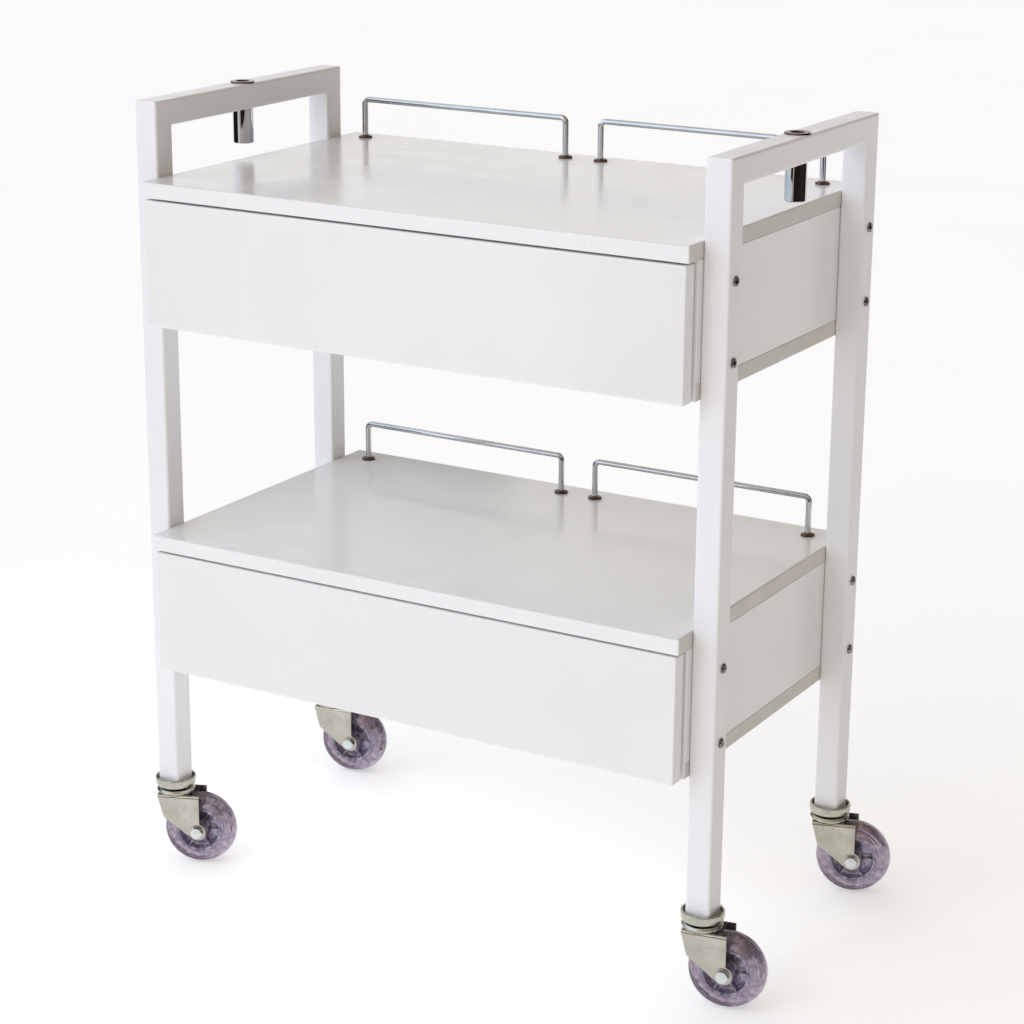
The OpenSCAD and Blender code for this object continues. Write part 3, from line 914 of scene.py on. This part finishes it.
def wheel_core():
    """The core: boss, web and rim, with six ribs on each side of the web."""
    bm = bmesh.new()
    bore, boss, rim, half = 4.05, 9.0, 24.0, 10.5
    end, web, rib, ribs_round = 14.8, 2.5, 8.0, 6
    side = [(bore, end, 0.4), (boss, end, 0.8), (boss + 0.6, web, 1.6), (rim - 3.4, web, 1.6)]
    side += [(rim - 3, half, 0.5), (rim, half, 0.3)]
    profile = side + [(r, -h, e) for r, h, e in reversed(side)]
    add_lathe(bm, rounded(profile, 0.4, 4), Matrix(), 96)
    ribs = bmesh.new()
    blade = [(boss - 1, -1.0), (rim - 1.5, -1.0), (rim - 1.5, 1.0), (boss - 1, 1.0)]
    for k in range(ribs_round):
        turn = Matrix.Rotation(math.radians(360 / ribs_round * k), 4, "Z")
        add_plate(ribs, blade, -rib, rib, 0.4, turn)
    bm = boolean(bm, ribs, "UNION")
    bmesh.ops.transform(bm, matrix=wheel_place(), verts=bm.verts)
    return make_mesh(bm, "wheel_core")


def add_casters():
    """The four casters, each turned to the heading that its joints give."""
    parts = [
        ("cup", swivel_cup(), "zinc", "frame", "caster_stems"),
        ("race", race_ring(), "zinc", "{}_caster", "{}_fork"),
        ("fork_sheet", fork_sheet(), "zinc", "{}_caster", "{}_fork"),
        ("axle_bolt", axle_bolt(), "zinc", "{}_caster", "{}_axle"),
        ("tyre_moulded", tyre(), "clear_tyre", "{}_wheel", "{}_tyre"),
        ("core_moulded", wheel_core(), "clear_core", "{}_wheel", "{}_hub"),
    ]
    for part, mesh, slot, _, _ in parts:
        if part == "axle_bolt":
            # The bolts get the lighter zinc with its painted highlight.
            mesh.materials.append(BLUISH_ZINC_PAINTED_HIGHLIGHT)
        mesh.materials.append(FINISHES[slot])
    for caster in CASTERS:
        pivot = Vector(JOINTS[f"{caster}_swivel"]["pos_m"])
        wheel = Vector(JOINTS[f"{caster}_spin"]["pos_m"])
        heading = math.atan2(wheel.y - pivot.y, wheel.x - pivot.x)
        place = Matrix.Translation((pivot.x, pivot.y, 0)) @ Matrix.Rotation(heading, 4, "Z")
        for part, mesh, slot, home, node in parts:
            piece = new_object(f"{caster}_{part}", mesh)
            piece.matrix_world = place
            body = home.format(caster)
            nodes = [node.format(caster)]
            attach(piece, body)
            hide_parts(*nodes)


# ---- camera, light and floor ----


CAMERA_PLACE = (1.24845, -2.10532, 1.14049)
CAMERA_ANGLES = (30.417, 17.112, 0.397)
CAMERA_LENS = 91.36


def set_camera():
    """The camera: its place, its heading, tilt and roll in degrees, and no shift."""
    azimuth, elevation, roll = (math.radians(angle) for angle in CAMERA_ANGLES)
    heading = Vector((-math.sin(azimuth), math.cos(azimuth), 0))
    forward = heading * math.cos(elevation) - Vector((0, 0, math.sin(elevation)))
    right = Vector((math.cos(azimuth), math.sin(azimuth), 0))
    up = right.cross(forward)
    across = right * math.cos(roll) + up * math.sin(roll)
    upward = up * math.cos(roll) - right * math.sin(roll)
    data = bpy.data.cameras.new("camera")
    data.sensor_width = 36.0
    data.lens = CAMERA_LENS
    camera = link_object("camera", data)
    turn = Matrix((across, upward, -forward)).transposed().to_4x4()
    camera.matrix_world = Matrix.Translation(CAMERA_PLACE) @ turn
    bpy.context.scene.camera = camera


def add_key_light():
    """A weak square light from the front left, high up, that faces the trolley."""
    place, target = Vector((-0.6, -2.4, 2.05)), Vector((0, 0, 0.4))
    data = bpy.data.lights.new("key", "AREA")
    data.size = 0.3
    data.energy = 6
    light = link_object("key", data)
    light.location = place
    light.rotation_mode = "QUATERNION"
    light.rotation_quaternion = (target - place).to_track_quat("-Z", "Y")


# The pale band along the horizon: how high it reaches, and its strength at the bottom.
BAND_TOP, BAND_STRENGTH = 0.2, 0.5

# Soft light from all round: direction, narrowness and colour of each glow.
GLOWS = [
    ((-1.0, 0.0, 0.15), 2, (0.56, 0.73, 0.90)),
    ((-1.0, -1.0, 0.3), 3, (0.70, 1.00, 1.45)),
    ((0.0, -1.0, 0.2), 2, (0.49, 0.24, 0.07)),
    ((0.0, -1.0, 0.9), 3, (0.38, 0.38, 0.30)),
    ((-0.5, 1.0, 0.9), 3, (0.38, 0.20, 0.03)),
    ((-1.0, 1.0, 0.3), 3, (0.66, 0.72, 0.77)),
    ((1.0, 0.0, 0.9), 3, (0.22, 0.22, 0.22)),
    ((0.0, 0.0, 1.0), 2, (0.06, 0.06, 0.06)),
    ((-0.3, 1.0, 0.1), 6, (0.10, 0.10, 0.10)),
]


def set_world():
    """Studio surroundings: a pale band along the horizon, and a soft glow from each side."""
    world = bpy.data.worlds.new("studio")
    world.use_nodes = True
    tree = world.node_tree
    place = tree.nodes.new("ShaderNodeTexCoord").outputs["Generated"]
    split = tree.nodes.new("ShaderNodeSeparateXYZ")
    band = tree.nodes.new("ShaderNodeMapRange")
    band.inputs["From Max"].default_value = BAND_TOP
    band.inputs["To Min"].default_value = BAND_STRENGTH
    band.inputs["To Max"].default_value = 0.0
    total = tree.nodes["Background"]
    total.inputs["Color"].default_value = (1, 1, 1, 1)
    tree.links.new(place, split.inputs[0])
    tree.links.new(split.outputs["Z"], band.inputs["Value"])
    tree.links.new(band.outputs["Result"], total.inputs["Strength"])
    for direction, narrowness, colour in GLOWS:
        towards = tree.nodes.new("ShaderNodeVectorMath")
        towards.operation = "DOT_PRODUCT"
        towards.inputs[1].default_value = Vector(direction).normalized()
        front = tree.nodes.new("ShaderNodeMath")
        front.operation = "MAXIMUM"
        front.inputs[1].default_value = 0.0
        fade = tree.nodes.new("ShaderNodeMath")
        fade.operation = "POWER"
        fade.inputs[1].default_value = narrowness
        glow = tree.nodes.new("ShaderNodeBackground")
        glow.inputs["Color"].default_value = (*colour, 1)
        both = tree.nodes.new("ShaderNodeAddShader")
        tree.links.new(place, towards.inputs[0])
        tree.links.new(towards.outputs["Value"], front.inputs[0])
        tree.links.new(front.outputs[0], fade.inputs[0])
        tree.links.new(fade.outputs[0], glow.inputs["Strength"])
        tree.links.new(total.outputs[0], both.inputs[0])
        tree.links.new(glow.outputs[0], both.inputs[1])
        total = both
    tree.links.new(total.outputs[0], tree.nodes["World Output"].inputs["Surface"])
    bpy.context.scene.world = world


def surroundings(name, bm, finish):
    """Makes a piece of the studio, of a bmesh drawn in metres."""
    mesh = bpy.data.meshes.new(name)
    bm.to_mesh(mesh)
    bm.free()
    mesh.materials.append(finish.material)
    return link_object(name, mesh)


def add_floor():
    """A plain white floor that also glows a little, as a lit studio sweep does."""
    bm = bmesh.new()
    bmesh.ops.create_grid(bm, x_segments=1, y_segments=1, size=20)
    finish = Finish("studio_floor", {"IOR": 1.3, "Specular IOR Level": 0.1})
    finish.shader.inputs["Emission Color"].default_value = (1, 1, 1, 1)
    finish.shader.inputs["Emission Strength"].default_value = 0.43
    finish.colour(finish.noise(2, 3), (0.79, 0.79, 0.79), (0.81, 0.81, 0.81))
    finish.roughness(finish.noise(5), 0.8, 0.9)
    floor = surroundings("floor", bm, finish)


def add_wall(name, arcs, radius, low, high, finish, shows):
    """Makes an upright curved wall about the Z axis that only one kind of ray meets."""
    step = 5
    bm = bmesh.new()
    for first, last in arcs:
        columns = []
        for k in range((last - first) // step + 1):
            turn = math.radians(first + step * k)
            x, y = radius * math.sin(turn), -radius * math.cos(turn)
            columns.append((bm.verts.new((x, y, low)), bm.verts.new((x, y, high))))
        for left, right in zip(columns, columns[1:]):
            bm.faces.new((left[0], right[0], right[1], left[1]))
    wall = surroundings(name, bm, finish)
    wall.visible_camera = shows == "camera"
    wall.visible_glossy = shows == "reflections"
    wall.visible_diffuse = False
    wall.visible_shadow = False
    wall.visible_transmission = False


def add_dark_cards():
    """Dark curved cards round the object, seen only in reflections, as chrome is lit."""
    finish = Finish("dark_card", {"Specular IOR Level": 0.0})
    finish.colour(finish.noise(3, 2), (0.015, 0.012, 0.01), (0.035, 0.025, 0.02))
    arcs = ((-150, -40), (-20, 140))
    add_wall("dark_cards", arcs, 1.6, 0.02, 0.8, finish, "reflections")


def add_backdrop():
    """A pale backdrop on the floor, far round the trolley, seen only by the camera."""
    finish = Finish("studio_backdrop", {"Specular IOR Level": 0.0, "Emission Strength": 0.96})
    finish.shader.inputs["Emission Color"].default_value = (1, 1, 1, 1)
    finish.colour(finish.noise(0.2, 2), (0.0, 0.0, 0.0), (0.01, 0.01, 0.01))
    add_wall("backdrop", ((-180, 180),), 18, -0.01, 20, finish, "camera")


finish_cad_nodes()
for tier in TIERS:
    add_cabinet(tier)
    add_drawer(tier)
    add_runners(tier)
    add_rollers(tier)
    for side in SIDES:
        add_gallery_rail(tier, side)
add_frame_welds()
add_sockets()
add_frame_screws()
add_casters()

set_camera()
set_world()
add_floor()
add_dark_cards()
add_backdrop()
add_key_light()
bpy.context.scene.view_settings.view_transform = "Standard"
